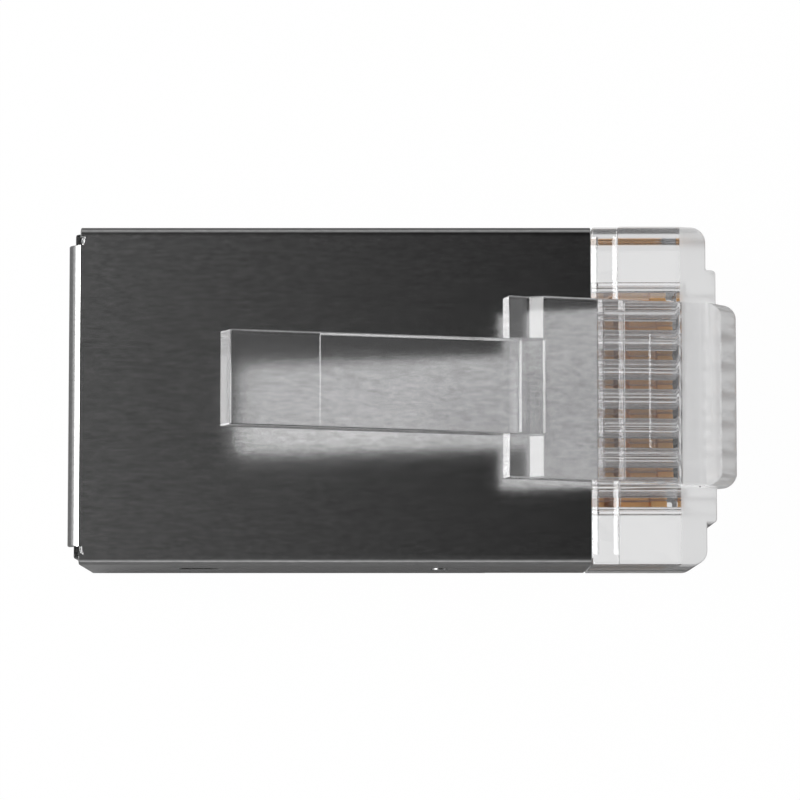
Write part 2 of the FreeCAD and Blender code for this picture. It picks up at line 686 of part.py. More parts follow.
def open_contact_side(body):
    """Cut back ahead of the contacts, middle seam, and window over the strain relief."""
    ahead = rectangle("deck_rear", "shield_front + cut_over", "0 - cut_over", "wall_foot")
    pocket(body, "contact_opening", polygon(body, "opening_side", "XZ_Plane", ahead),
           "plug_width + cut_over", True)
    seam = rectangle("panel_rear - cut_over", "deck_rear + cut_over", "0 - cut_over", "2 * sheet")
    pocket(body, "middle_seam", polygon(body, "seam_side", "XZ_Plane", seam), "seam", True)
    window = rectangle("rear + window_start", "rear + window_start + window_length",
                       "0 - cut_over", "2 * sheet")
    pocket(body, "window", polygon(body, "window_side", "XZ_Plane", window),
           "window_width", True)


def add_tabs_and_bumps(body):
    """Locking tab lanced out of each side wall, and a grounding bump ahead of it."""
    low = "body_height / 2 - tab_height / 2"
    root = "rear + tab_reach"
    hole = rectangle("%s - tab_length - tab_slit" % root, root,
                     "plug_width / 2 - 2 * sheet", "plug_width / 2 + cut_over")
    plan = polygon(body, "tab_hole_plan", "XY_Plane", hole, low + " - tab_slit")
    cut = pocket(body, "tab_hole", plan, "tab_height + 2 * tab_slit", flip=True)
    tab = [
        (root + " + cut_lap", "plug_width / 2"),
        (root, "plug_width / 2"),
        (root + " - tab_length", "plug_width / 2 - tab_bite"),
        (root + " - tab_length", "plug_width / 2 - tab_bite - sheet"),
        (root, "plug_width / 2 - sheet"),
        (root + " + cut_lap", "plug_width / 2 - sheet"),
    ]
    tongue = pad(body, "tab", polygon(body, "tab_plan", "XY_Plane", tab, low), "tab_height")
    mirror_across(body, "tab_holes", [cut, tongue])
    spot = circle(body, "bump_face", "XZ_Plane", "rear + bump_reach", "body_height / 2",
                  "bump_radius")
    pad(body, "bumps", spot, "plug_width + 2 * bump_height", True)
    core = rectangle("rear + bump_reach - 2 * bump_radius",
                     "rear + bump_reach + 2 * bump_radius",
                     "body_height / 2 - 2 * bump_radius",
                     "body_height / 2 + 2 * bump_radius")
    pocket(body, "bump_clearance", polygon(body, "bump_core", "XZ_Plane", core),
           "plug_width - 2 * sheet", True)
    face = number("plug_width / 2 + bump_height")
    rims = [n for n, edge in named_edges(body) if near(abs(edge.CenterOfMass.y), face)]
    soften(body, "Fillet", "bump_rims", rims, "0.8 * bump_height")


def make_shield():
    body = new_body("shield")
    fold_tube(body)
    add_rear_lip(body)
    open_contact_side(body)
    add_tabs_and_bumps(body)
    return body


# ---------------------------------------------------------------- the contacts
def blade_outline():
    """Side of a blade: rounded foot, two locking shoulders and two pointed prongs."""
    foot = "blade_lift"
    base = "blade_lift + blade_base"
    tip = "blade_lift + blade_height"
    ledge = "blade_lift + blade_base + prong_shoulder"
    corners = [("blade_rear", foot), ("blade_front", foot), ("blade_front", ledge)]
    corners.append(("blade_front - prong_width", ledge))
    corners.append(("blade_front - prong_width", base))
    for share in ("0.3", "0.7"):
        middle = "(blade_front - %s * blade_length)" % share
        corners.append(("%s + prong_width / 2" % middle, base))
        corners.append(("%s + prong_tip / 2" % middle, tip))
        corners.append(("%s - prong_tip / 2" % middle, tip))
        corners.append(("%s - prong_width / 2" % middle, base))
    corners.append(("blade_rear + prong_width", base))
    corners.append(("blade_rear + prong_width", ledge))
    corners.append(("blade_rear", ledge))
    return corners


def make_contact(index):
    """One blade; its body is moved across the plug to its own slot."""
    body = new_body("contact_%d" % index)
    side = polygon(body, "blade_side_%d" % index, "XZ_Plane", blade_outline())
    pad(body, "blade_%d" % index, side, "blade_thickness", True)
    foot = number("blade_lift")
    corners = edges_where(body, lambda at, run, size: along(run, 1) and near(at.z, foot))
    soften(body, "Fillet", "blade_feet_%d" % index, corners, "blade_corner")
    place = "first_contact + pitch * %d" % (index - 1)
    body.setExpression("Placement.Base.y", cell(place))
    return body


# ---------------------------------------------------------------- build and write
def check(bodies):
    """Stop if any object failed or any piece isn't one valid solid."""
    for item in doc.Objects:
        if "Invalid" in item.State or "Error" in item.State:
            raise RuntimeError("%s failed: %s" % (item.Label, item.State))
    for body in bodies:
        shape = body.Shape
        if shape.isNull() or not shape.isValid() or len(shape.Solids) != 1:
            raise RuntimeError("%s is not one valid solid" % body.Label)


def main():
    bodies = [make_housing(), make_latch(), make_shield()]
    for index in range(1, int(number("contact_count")) + 1):
        bodies.append(make_contact(index))
    doc.recompute()
    check(bodies)
    os.makedirs("parts", exist_ok=True)
    for body in bodies:
        body.Shape.exportStep("parts/%s.step" % body.Label)
        box = body.Shape.BoundBox
        print("%-10s %8.3f mm3  x %.2f..%.2f  y %.2f..%.2f  z %.2f..%.2f" % (
            body.Label, body.Shape.Volume, box.XMin, box.XMax,
            box.YMin, box.YMax, box.ZMin, box.ZMax))


main()
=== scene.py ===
# %% [markdown]
# # A shielded modular plug, finished in Blender
#
# The plug's solids come from the CAD model: a clear moulded housing with its latch, a
# folded metal shield, and eight contact blades. This file gives them their finishes, a
# pale table to lie on, soft light and a camera. Everything is in metres, in the CAD
# model's own frame: +X points to the nose, +Z up through the latch side.

# %% Load the fixed frame
import json
import math

import bpy
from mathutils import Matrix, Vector
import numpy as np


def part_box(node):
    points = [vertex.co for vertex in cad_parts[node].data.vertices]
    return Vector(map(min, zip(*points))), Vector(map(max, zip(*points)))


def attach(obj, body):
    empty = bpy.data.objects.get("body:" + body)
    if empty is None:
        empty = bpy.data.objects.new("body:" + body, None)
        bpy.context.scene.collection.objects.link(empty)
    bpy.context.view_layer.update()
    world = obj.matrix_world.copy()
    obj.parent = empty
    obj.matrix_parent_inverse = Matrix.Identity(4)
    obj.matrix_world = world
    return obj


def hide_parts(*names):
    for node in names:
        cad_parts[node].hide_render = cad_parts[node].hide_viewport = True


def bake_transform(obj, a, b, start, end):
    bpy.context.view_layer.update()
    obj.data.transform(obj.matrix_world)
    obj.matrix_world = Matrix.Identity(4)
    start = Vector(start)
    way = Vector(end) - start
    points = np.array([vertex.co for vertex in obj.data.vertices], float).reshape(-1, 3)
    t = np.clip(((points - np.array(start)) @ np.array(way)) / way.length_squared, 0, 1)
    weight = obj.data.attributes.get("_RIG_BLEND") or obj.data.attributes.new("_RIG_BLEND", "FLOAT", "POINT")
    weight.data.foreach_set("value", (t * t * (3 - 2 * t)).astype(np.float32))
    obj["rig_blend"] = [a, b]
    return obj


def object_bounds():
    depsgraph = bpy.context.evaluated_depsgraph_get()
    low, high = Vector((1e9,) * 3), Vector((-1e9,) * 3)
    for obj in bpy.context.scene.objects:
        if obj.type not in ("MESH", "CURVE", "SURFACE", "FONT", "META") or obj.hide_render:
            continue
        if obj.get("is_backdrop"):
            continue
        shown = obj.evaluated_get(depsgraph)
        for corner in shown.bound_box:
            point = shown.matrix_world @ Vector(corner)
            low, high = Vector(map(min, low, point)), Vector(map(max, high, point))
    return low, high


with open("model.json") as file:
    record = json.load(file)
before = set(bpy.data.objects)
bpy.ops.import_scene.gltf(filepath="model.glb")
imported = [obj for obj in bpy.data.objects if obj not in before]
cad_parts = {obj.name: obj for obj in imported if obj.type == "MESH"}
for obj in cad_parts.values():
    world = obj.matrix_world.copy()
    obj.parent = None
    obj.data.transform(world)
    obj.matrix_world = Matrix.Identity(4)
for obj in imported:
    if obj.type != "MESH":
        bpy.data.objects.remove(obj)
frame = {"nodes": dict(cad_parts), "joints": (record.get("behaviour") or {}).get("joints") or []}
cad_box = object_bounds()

MM = 0.001
low, high = Vector(cad_box[0]), Vector(cad_box[1])
print("plug:", [round(side / MM, 2) for side in high - low], "mm")


# %% [markdown]
# ## Why the CAD solids are rounded here
#
# No real edge is perfectly sharp. A moulding takes the small radius of its tool and
# stamped metal rolls over at its edge, and those narrow strips are what catch the light.
# The CAD solids have their main curves but sharp small edges. They could be rounded in
# the CAD model too, but that would cost it thousands of triangles that no fit or joint
# needs. The pieces below start as copies of the CAD solids, get a fine bevel on every
# sharp edge, and stand for the nodes they copy. On outer edges a bevel takes material
# away, so nothing grows beyond the CAD size.

# %% Copies of CAD solids with clean flat faces
import bmesh
from mathutils import Matrix, kdtree
from mathutils.bvhtree import BVHTree

SAME_CORNER = 0.001 * MM
SAME_FACE = math.radians(0.5)


def weld(mesh):
    """Join split corners and merge the triangles of each flat face into one face."""
    work = bmesh.new()
    work.from_mesh(mesh)
    bmesh.ops.remove_doubles(work, verts=work.verts, dist=SAME_CORNER)
    bmesh.ops.dissolve_limit(work, angle_limit=SAME_FACE,
                             verts=work.verts, edges=work.edges)
    work.to_mesh(mesh)
    work.free()


def place_object(name, data):
    """Put a mesh, a lamp or a camera into the scene as an object of this name."""
    piece = bpy.data.objects.new(name, data)
    bpy.context.scene.collection.objects.link(piece)
    return piece


def copy_of(node_name, name):
    """A bare, welded copy of one CAD node."""
    mesh = frame["nodes"][node_name].data.copy()
    mesh.materials.clear()
    weld(mesh)
    return place_object(name, mesh)


# %% [markdown]
# A modifier is only a recipe until it is applied. The next helper applies them all, so
# that the mesh can be cut further. The one after it marks the edges that are really
# sharp: the CAD's curves arrive as facets that turn by up to ten degrees, and those are
# left to smooth shading.

# %% Settle modifiers, and mark the sharp edges
SHARPER_THAN = math.radians(11.5)
BEVEL_MARK = "bevel_weight_edge"


def settle(piece):
    """Apply every modifier, and say how many faces the piece has now."""
    depsgraph = bpy.context.evaluated_depsgraph_get()
    mesh = bpy.data.meshes.new_from_object(piece.evaluated_get(depsgraph))
    piece.modifiers.clear()
    piece.data = mesh
    print(piece.name, "has", len(mesh.polygons), "faces")


def mark_sharp_edges(mesh):
    """Mark every edge that turns sharply for the bevel."""
    work = bmesh.new()
    work.from_mesh(mesh)
    weight = work.edges.layers.float.new(BEVEL_MARK)
    for edge in work.edges:
        edge[weight] = float(edge.calc_face_angle(0.0) > SHARPER_THAN)
    work.to_mesh(mesh)
    work.free()


# %% [markdown]
# ## Corners that can't take a bevel
#
# A bevel slides each corner along its edges. Where several edges of a moulding meet at
# odd angles, or two walls stand closer than two radii, the slid corner can land far off
# the solid or a face can turn inside out. Clamping the bevel would shrink it everywhere.
# Instead the bevel is tried, every corner of the result is measured against the solid
# before it, and the few original corners behind the strays are left sharp. If strays
# remain, later tries give up one more of the nearest corners each.

# %% Find the corners that the bevel throws off the solid
TURNED_OVER = -0.2


def stray_spots(rounded, surface, limit):
    """Points of the rounded mesh that left the solid or turned over."""
    for vertex in rounded.vertices:
        if surface.find_nearest(vertex.co)[3] > limit:
            yield vertex.co
    for face in rounded.polygons:
        if face.normal.dot(surface.find_nearest(face.center)[1]) < TURNED_OVER:
            yield face.center


def leave_stray_corners(piece, limit, nearest):
    """Unmark the edges at corners that the bevel throws off the solid; count them."""
    solid = bmesh.new()
    solid.from_mesh(piece.data)
    weight = solid.edges.layers.float[BEVEL_MARK]
    marked = [corner for corner in solid.verts
              if any(edge[weight] for edge in corner.link_edges)]
    corners = kdtree.KDTree(len(marked))
    for number, corner in enumerate(marked):
        corners.insert(corner.co, number)
    corners.balance()
    depsgraph = bpy.context.evaluated_depsgraph_get()
    rounded = bpy.data.meshes.new_from_object(piece.evaluated_get(depsgraph))
    strays = {found[1] for spot in stray_spots(rounded, BVHTree.FromBMesh(solid), limit)
              for found in corners.find_n(spot, nearest)}
    for number in strays:
        for edge in marked[number].link_edges:
            edge.smooth = edge.smooth and not edge[weight]
            edge[weight] = 0.0
    solid.to_mesh(piece.data)
    solid.free()
    bpy.data.meshes.remove(rounded)
    return len(strays)


# %% [markdown]
# ## Shading that keeps flat faces flat
#
# Smooth shading blends the direction of neighbouring faces, and on a flat mirror-like
# panel that shows as a bend. The Weighted Normal modifier lets the largest face win at
# each corner, so flat faces stay flat and only the narrow bevels turn. It compares face
# areas, and a plug of a few millimetres in a file in metres has areas too small for it,
# so the mesh is scaled up to millimetres for the rounding and back down afterwards.
#
# Two small repairs follow. A corner that ends a hair outside the CAD box goes back to
# its side, and a shading direction that came out missing or turned away from its face
# is replaced by the face's own.

# %% Repairs after the rounding
LEAST_AGREEMENT = 0.5


def hold_inside(mesh):
    """Bring any corner that the rounding left outside the CAD box back to its side."""
    for vertex in mesh.vertices:
        for axis in range(3):
            vertex.co[axis] = min(max(vertex.co[axis], low[axis]), high[axis])


def mend_normals(mesh):
    """Where a corner's shading normal is missing or turned away, use the face's own."""
    normals = [Vector(corner.vector) for corner in mesh.corner_normals]
    mended = 0
    for face in mesh.polygons:
        for number in face.loop_indices:
            if normals[number].dot(face.normal) < LEAST_AGREEMENT:
                normals[number] = face.normal.copy()
                mended += 1
    mesh.normals_split_custom_set(normals)
    print("  normals mended:", mended)


# %% Round a piece's edges
BEVEL_SEGMENTS = 2
BEVEL_TRIES = 10
STRAY_SHARE = 0.75
LARGEST_WINS = 100


def round_edges(piece, radius):
    """A fine bevel on the sharp edges, then smooth shading that keeps flat faces flat."""
    for face in piece.data.polygons:
        face.use_smooth = True
    piece.data.transform(Matrix.Scale(1 / MM, 4))
    mark_sharp_edges(piece.data)
    bevel = piece.modifiers.new("fine_round", "BEVEL")
    bevel.width = radius / MM
    bevel.segments = BEVEL_SEGMENTS
    bevel.limit_method = "WEIGHT"
    bevel.use_clamp_overlap = False
    for attempt in range(BEVEL_TRIES):
        strays = leave_stray_corners(piece, STRAY_SHARE * bevel.width, 1 + attempt // 2)
        print(piece.name, "try", attempt + 1, "corners left sharp:", strays)
        if not strays:
            break
    flat = piece.modifiers.new("flat_faces", "WEIGHTED_NORMAL")
    flat.weight = LARGEST_WINS
    flat.keep_sharp = True
    settle(piece)
    piece.data.transform(Matrix.Scale(MM, 4))
    hold_inside(piece.data)
    mend_normals(piece.data)


# %% [markdown]
# ## The clear moulding
#
# On the real plug the housing and the latch are one piece of clear plastic: the latch
# arm grows out of the nose and bends at its thin root. The CAD keeps them as two solids
# so that the latch can travel, and clear plastic would show the gap between them as a
# dark seam. So the two copies and a short bar that fills the bending line are joined
# with a boolean union, and only the finished skin is parted again, across the arm just
# behind its root, where both halves share the same ring of corners.
#
# A bar is the simplest solid to make from code: one outline, pushed across the plug.

# %% Bars across the plug
def bar(name, outline, width, middle=0.0):
    """A bar across the plug with this outline of (x, z) corners."""
    work = bmesh.new()
    side = [work.verts.new((x, middle - width / 2, z)) for x, z in outline]
    face = work.faces.new(side)
    grown = bmesh.ops.extrude_face_region(work, geom=[face])
    far = [item for item in grown["geom"] if isinstance(item, bmesh.types.BMVert)]
    bmesh.ops.translate(work, verts=far, vec=(0.0, width, 0.0))
    bmesh.ops.recalc_face_normals(work, faces=work.faces)
    mesh = bpy.data.meshes.new(name)
    work.to_mesh(mesh)
    work.free()
    return place_object(name, mesh)


# %% [markdown]
# The bar at the bending line has seven corners, all given from that line. Two are on the
# arm's side, in steps along the arm and square to it, and five on the root's side, in
# steps ahead and up. The bar ends a little inside the arm's skin, because a corner
# exactly on that skin would leave a ridge there.

# %% The bar that fills the bending line
bend_line = Vector(frame["joints"][0]["pos_m"])
arm_low, arm_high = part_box("latch")
arm_width = arm_high.y - arm_low.y
ARM_RISE = math.radians(22.0)
along_arm = Vector((-math.cos(ARM_RISE), 0.0, math.sin(ARM_RISE)))
up_arm = Vector((math.sin(ARM_RISE), 0.0, math.cos(ARM_RISE)))
FILLER_TOP = (0.40, 0.288)
FILLER_FOOT = (0.35, -0.25)
FILLER_ROOT = ((0.19, 0.295), (0.39, 0.08), (0.36, -0.30), (0.10, -0.42), (-0.005, -0.332))


def on_the_arm(along, up):
    """A point this far along the arm and above its middle line, in millimetres."""
    return bend_line + along_arm * along * MM + up_arm * up * MM


def root_filler():
    """A bar along the bending line that closes the seat flush with arm and root."""
    outline = [on_the_arm(*FILLER_TOP)]
    outline += [bend_line + Vector((x * MM, 0.0, z * MM)) for x, z in FILLER_ROOT]
    outline += [on_the_arm(*FILLER_FOOT)]
    return bar("root_filler", [(corner.x, corner.z) for corner in outline], arm_width)


print("arm", round(arm_width / MM, 2), "mm wide, bends at x", round(bend_line.x / MM, 2),
      "mm and z", round(bend_line.z / MM, 2), "mm")


# %% [markdown]
# ## Small steps on the deck
#
# The moulding's deck has three low steps that run across the plug above the contacts.
# They are less than a tenth of a millimetre high, too small to matter to a fit, but each
# catches the lamp as one bright line, so they are added here as thin wedges with a
# sloping side that faces the lamp.

# %% Deck steps
RAMP_SLOPE = math.radians(19.0)
RAMP_LAND = 0.06 * MM
RAMP_SINK = 0.03 * MM
RAMPS = {"ramp_1": (6.475, 0.17, 10.9, 0.0),
         "ramp_2": (7.20, 0.16, 10.9, 0.0),
         "ramp_3": (8.26, 0.07, 3.9, 0.12)}
deck_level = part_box("shield")[1].z


def ramp(name, start, length, width, middle):
    """A low step across the deck, with a sloping front that faces the cable end."""
    rise = length * math.tan(RAMP_SLOPE)
    land = start + length + RAMP_LAND
    outline = [(start, deck_level), (start + length, deck_level + rise),
               (land, deck_level + rise), (land, deck_level - RAMP_SINK),
               (start, deck_level - RAMP_SINK)]
    print(name, "is", round(rise / MM, 3), "mm high")
    return bar(name, outline, width, middle)


# %% [markdown]
# ## Crests and wings of the latch
#
# Two fine crests cross the arm where it turns into the handle, at the start and the end
# of a short ramp. They are a twentieth of a millimetre high and show as two light lines.
# Beside them, the latch's two wings have a ramp each that slides past the socket's
# catch. Their corners are moved by about a tenth of a millimetre, which decides whether
# the ramp, or the wing's top and end, mirrors the lamp.

# %% Crests
CRESTS = {"crest_1": (6.11, 0.70, 0.055), "crest_2": (6.95, 0.60, 0.045)}
CREST_WIDTH = 3.1 * MM
CREST_FALL = 2.2
CREST_BACK = (0.10, 0.06)
CREST_FRONT = (0.06, 0.04)


def crest(name, reach, above, height):
    """A fine crest across the arm, this far along it and above its middle line."""
    foot = bend_line + (along_arm * reach + up_arm * above) * MM
    top = foot + up_arm * height * MM
    fall = Vector((-math.cos(RAMP_SLOPE), 0.0, -math.sin(RAMP_SLOPE)))
    corners = [top, top + fall * CREST_FALL * height * MM,
               foot + (along_arm * CREST_BACK[0] - up_arm * CREST_BACK[1]) * MM,
               foot - (along_arm * CREST_FRONT[0] + up_arm * CREST_FRONT[1]) * MM]
    return bar(name, [(corner.x, corner.z) for corner in corners], CREST_WIDTH)


# %% Wings
WING_CORNERS = (((4.21, 9.52), (0.0, -0.07)), ((3.56, 9.79), (0.0, 0.12)),
                ((3.307, 9.165), (0.07, -0.028)))
CORNER_REACH = 0.03 * MM


def shape_wings(mesh):
    """Turn the two wings' ramps towards the lamp and their tops and ends away from it."""
    for (x, z), (ahead, up) in WING_CORNERS:
        moved = [vertex for vertex in mesh.vertices
                 if math.hypot(vertex.co.x - x * MM, vertex.co.z - z * MM) < CORNER_REACH]
        for vertex in moved:
            vertex.co.x += ahead * MM
            vertex.co.z += up * MM
        print("wing corners moved:", len(moved))


# %% [markdown]
# ## One skin, the same in every run
#
# The boolean union works on several processor cores at once, and the order in which it
# lists its corners and faces changes from run to run. The shape is the same, but what
# follows depends on the order in small ways. So the result is rebuilt with its corners
# sorted by place and its faces sorted by their corners.

# %% One skin for housing and latch
def put_in_order(mesh):
    """Rebuild a mesh with its corners and faces in an order that never changes."""
    by_place = sorted(mesh.vertices, key=lambda corner: tuple(corner.co))
    rank = {corner.index: number for number, corner in enumerate(by_place)}
    places = [corner.co.copy() for corner in by_place]
    faces = []
    for face in mesh.polygons:
        loop = [rank[number] for number in face.vertices]
        start = loop.index(min(loop))
        faces.append(loop[start:] + loop[:start])
    mesh.clear_geometry()
    mesh.from_pydata(places, [], sorted(faces))


def join_solids(base, others):
    """Unite solids with the first one, and clear the others away."""
    for other in others:
        union = base.modifiers.new("join", "BOOLEAN")
        union.operation = "UNION"
        union.solver = "EXACT"
        union.object = other
    settle(base)
    for other in others:
        bpy.data.objects.remove(other)
    put_in_order(base.data)
    weld(base.data)
    put_in_order(base.data)


moulding = copy_of("housing", "clear_housing")
latch_copy = copy_of("latch", "latch_copy")
shape_wings(latch_copy.data)
additions = [latch_copy, root_filler()]
for name, (start, length, width, middle) in RAMPS.items():
    additions.append(ramp(name, start * MM, length * MM, width * MM, middle * MM))
for name, place in CRESTS.items():
    additions.append(crest(name, *place))
join_solids(moulding, additions)


# %% [markdown]
# ## Rings for the bend
#
# The bend needs rows of corners to bend between. A few cuts go across the arm near its
# root; the first of them is the ring where the skin is parted. What is cut is gathered
# in dictionaries, which keep their order, so every run cuts in the same order and gives
# the same mesh. A plain set of edges would not.

# %% Rings across the arm, then the fine rounding
PART_AT = 0.90 * MM
BEND_ENDS = 2.30 * MM
RINGS = 8
CLEAR_OF_DECK = 0.10 * MM
SIDE_ROOM = 0.01 * MM
ON_THE_CUT = 0.0001 * MM
MOULD_RADIUS = 0.06 * MM


def within_arm_width(point):
    """True for a point no farther to the side than the arm reaches."""
    return abs(point.y) < arm_width / 2 + SIDE_ROOM


def above_deck(face):
    """True for a face of the arm: clear of the deck, and within the arm's width."""
    heights = [corner.co.z - deck_level for corner in face.verts]
    clear = min(heights) > -SIDE_ROOM and max(heights) > CLEAR_OF_DECK
    return clear and within_arm_width(face.calc_center_bounds())


def cut_rings(mesh):
    """Cut across the arm at even steps from the parting ring to the end of the bend."""
    work = bmesh.new()
    work.from_mesh(mesh)
    for ring in range(RINGS):
        reach = PART_AT + (BEND_ENDS - PART_AT) * ring / (RINGS - 1)
        arm = [face for face in work.faces if above_deck(face)]
        edges = dict.fromkeys(edge for face in arm for edge in face.edges)
        corners = dict.fromkeys(corner for face in arm for corner in face.verts)
        bmesh.ops.bisect_plane(work, geom=[*arm, *edges, *corners], dist=ON_THE_CUT,
                               plane_co=bend_line + along_arm * reach, plane_no=along_arm)
    work.to_mesh(mesh)
    work.free()


cut_rings(moulding.data)
round_edges(moulding, MOULD_RADIUS)


# %% [markdown]
# ## Parting the skin
#
# The finished skin is now split in two: what lies behind the first ring is the arm, the
# rest is the housing. The arm is blended between the two bodies, so it curves near its
# root when the latch is pressed, as the thin plastic does.

# %% Part the skin at the first ring
BEND_GAP = 0.02 * MM


def on_arm(face):
    """True for a face of the arm behind the first ring."""
    middle = face.calc_center_median()
    beyond = (middle - bend_line).dot(along_arm) > PART_AT
    return beyond and within_arm_width(middle) and middle.z > deck_level + CLEAR_OF_DECK


def keep_faces(mesh, wanted):
    """Delete every face that isn't wanted."""
    work = bmesh.new()
    work.from_mesh(mesh)
    spare = [face for face in work.faces if not wanted(face)]
    bmesh.ops.delete(work, geom=spare, context="FACES")
    work.to_mesh(mesh)
    work.free()
    print("parted:", len(mesh.polygons), "faces kept,", len(spare), "cut away")


arm = place_object("latch_arm", moulding.data.copy())
keep_faces(arm.data, on_arm)
keep_faces(moulding.data, lambda face: not on_arm(face))
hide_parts("housing")
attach(moulding, "plug")
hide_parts("latch")
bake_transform(arm, "plug", "latch",
         start=bend_line + along_arm * (PART_AT + BEND_GAP),
         end=bend_line + along_arm * BEND_ENDS)


# %% [markdown]
# ## The metal pieces
#
# The shield is sheet 0.2 mm thick, so its edges get a radius of a fifth of that. The
# blades are stamped from strip of about 0.3 mm, and a tenth of that is enough for their
# small teeth. A copy of each CAD solid is rounded, takes the solid's place and rides on
# the plug, because neither piece moves on its own.

# %% Shield and blades
SHEET_EDGE = 0.04 * MM
BLADE_EDGE = 0.03 * MM


def metal_piece(node_name, name, radius):
    """A rounded copy of a metal node, in its place on the plug."""
    piece = copy_of(node_name, name)
    round_edges(piece, radius)
    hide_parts(node_name)
    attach(piece, "plug")
    return piece


shield = metal_piece("shield", "folded_shield", SHEET_EDGE)
blades = [metal_piece(node_name, node_name.replace("contact", "blade"), BLADE_EDGE)
          for node_name in sorted(frame["nodes"]) if node_name.startswith("contact_")]


# %% [markdown]
# ## Small helpers for materials
#
# A finish is a tree of shader nodes. Building one by hand in the node editor is pleasant,
# but in a script it helps to have a few short functions: one that starts a material with
# a Principled shader, one that adds a node, one that joins two sockets, and a few for
# the small groups of nodes that come back in every finish.

# %% Material helpers
PLAIN_WHITE = (1.0, 1.0, 1.0, 1.0)


def new_finish(name):
    """A material with an empty tree, a Principled shader and an output."""
    finish = bpy.data.materials.new(name)
    finish.use_nodes = True
    tree = finish.node_tree
    tree.nodes.clear()
    shader = tree.nodes.new("ShaderNodeBsdfPrincipled")
    output = tree.nodes.new("ShaderNodeOutputMaterial")
    tree.links.new(shader.outputs["BSDF"], output.inputs["Surface"])
    return finish, tree, shader


def add(tree, kind, **settings):
    """A node of this kind; a setting is an attribute, or an input socket's value."""
    node = tree.nodes.new("ShaderNode" + kind)
    for key, value in settings.items():
        if hasattr(node, key):
            setattr(node, key, value)
        else:
            node.inputs[key.replace("_", " ").capitalize()].default_value = value
    return node


def join(tree, source, target):
    tree.links.new(source, target)


def calculate(tree, operation, first, second):
    """The result of a sum or product; the second term may be a plain number."""
    node = add(tree, "Math", operation=operation)
    join(tree, first, node.inputs[0])
    if isinstance(second, float):
        node.inputs[1].default_value = second
    else:
        join(tree, second, node.inputs[1])
    return node.outputs["Value"]


def dress(piece, finish):
    """Give a piece its finish."""
    piece.data.materials.clear()
    piece.data.materials.append(finish)
    print(piece.name, "is finished in", finish.name)


# %% Patterns and what they drive
NOISE_MIDDLE = (0.3, 0.7)


def stretched_noise(tree, scale, stretch, detail=4.0):
    """Noise in the object's own space, drawn out by a factor for each axis."""
    place = add(tree, "TexCoord")
    squeeze = add(tree, "Mapping")
    squeeze.inputs["Scale"].default_value = stretch
    noise = add(tree, "TexNoise", Scale=scale, Detail=detail)
    join(tree, place.outputs["Object"], squeeze.inputs["Vector"])
    join(tree, squeeze.outputs["Vector"], noise.inputs["Vector"])
    return noise.outputs["Fac"]


def between(tree, source, bottom, top, start=NOISE_MIDDLE[0], stop=NOISE_MIDDLE[1]):
    """The source's values from start to stop, spread over bottom to top."""
    span = add(tree, "MapRange")
    for socket, value in zip(("From Min", "From Max", "To Min", "To Max"),
                             (start, stop, bottom, top)):
        span.inputs[socket].default_value = value
    join(tree, source, span.inputs["Value"])
    return span.outputs["Result"]


def two_tones(tree, shader, source, dark, light):
    """Colour the shader between two tones by a pattern."""
    tone = add(tree, "Mix", data_type="RGBA")
    tone.inputs["A"].default_value = dark
    tone.inputs["B"].default_value = light
    join(tree, source, tone.inputs["Factor"])
    join(tree, tone.outputs["Result"], shader.inputs["Base Color"])


def roughen(tree, shader, source, depth):
    """Feed a pattern to the shader as relief of this depth in metres."""
    relief = add(tree, "Bump", Strength=1.0, Distance=depth)
    join(tree, source, relief.inputs["Height"])
    join(tree, relief.outputs["Normal"], shader.inputs["Normal"])


# %% [markdown]
# ## Satin nickel for the shield
#
# The shield is brass or steel strip with a satin nickel plate. The strip was rolled, so it
# carries fine short streaks along the plug, and the plate gives it a tiny speckle. One
# noise drawn out along X makes the streaks, which vary the roughness. A second, finer
# one makes the speckle, which varies the tone and gives a relief of well under a
# micrometre.

# %% Satin nickel
ROLLED = (0.2, 1.0, 1.0)
SPECKLED = (0.35, 1.0, 1.0)
NICKEL_STREAKS = 5000.0
NICKEL_SPECKLE = 9000.0
NICKEL_DARK = (0.42, 0.42, 0.42, 1.0)
NICKEL_LIGHT = (0.70, 0.70, 0.70, 1.0)
NICKEL_ROUGHNESS = (0.15, 0.18)
NICKEL_RELIEF = 0.0008 * MM


def satin_nickel():
    finish, tree, shader = new_finish("satin_nickel")
    streaks = stretched_noise(tree, NICKEL_STREAKS, ROLLED)
    speckle = stretched_noise(tree, NICKEL_SPECKLE, SPECKLED, detail=2.0)
    shader.inputs["Metallic"].default_value = 1.0
    two_tones(tree, shader, speckle, NICKEL_DARK, NICKEL_LIGHT)
    join(tree, between(tree, streaks, *NICKEL_ROUGHNESS), shader.inputs["Roughness"])
    roughen(tree, shader, speckle, NICKEL_RELIEF)
    return finish


dress(shield, satin_nickel())


# %% [markdown]
# ## Clear plastic for the housing and the latch
#
# These plugs are moulded in clear polycarbonate, which bends light strongly (an index of
# about 1.58) and loses a little of it on the way, so the tint is a light grey. Plastic
# that flowed into a mould isn't quite flat, and a slow wave in the surface stops long
# straight reflections from looking ruled.

# %% Clear polycarbonate
CLEAR_TINT = (0.86, 0.86, 0.865, 1.0)
PLASTIC_IOR = 1.585
POLISH = (0.02, 0.05)
FLOW_WAVES = 250.0
FLOW_STRETCH = (0.5, 1.0, 1.0)
FLOW_DEPTH = 0.004 * MM


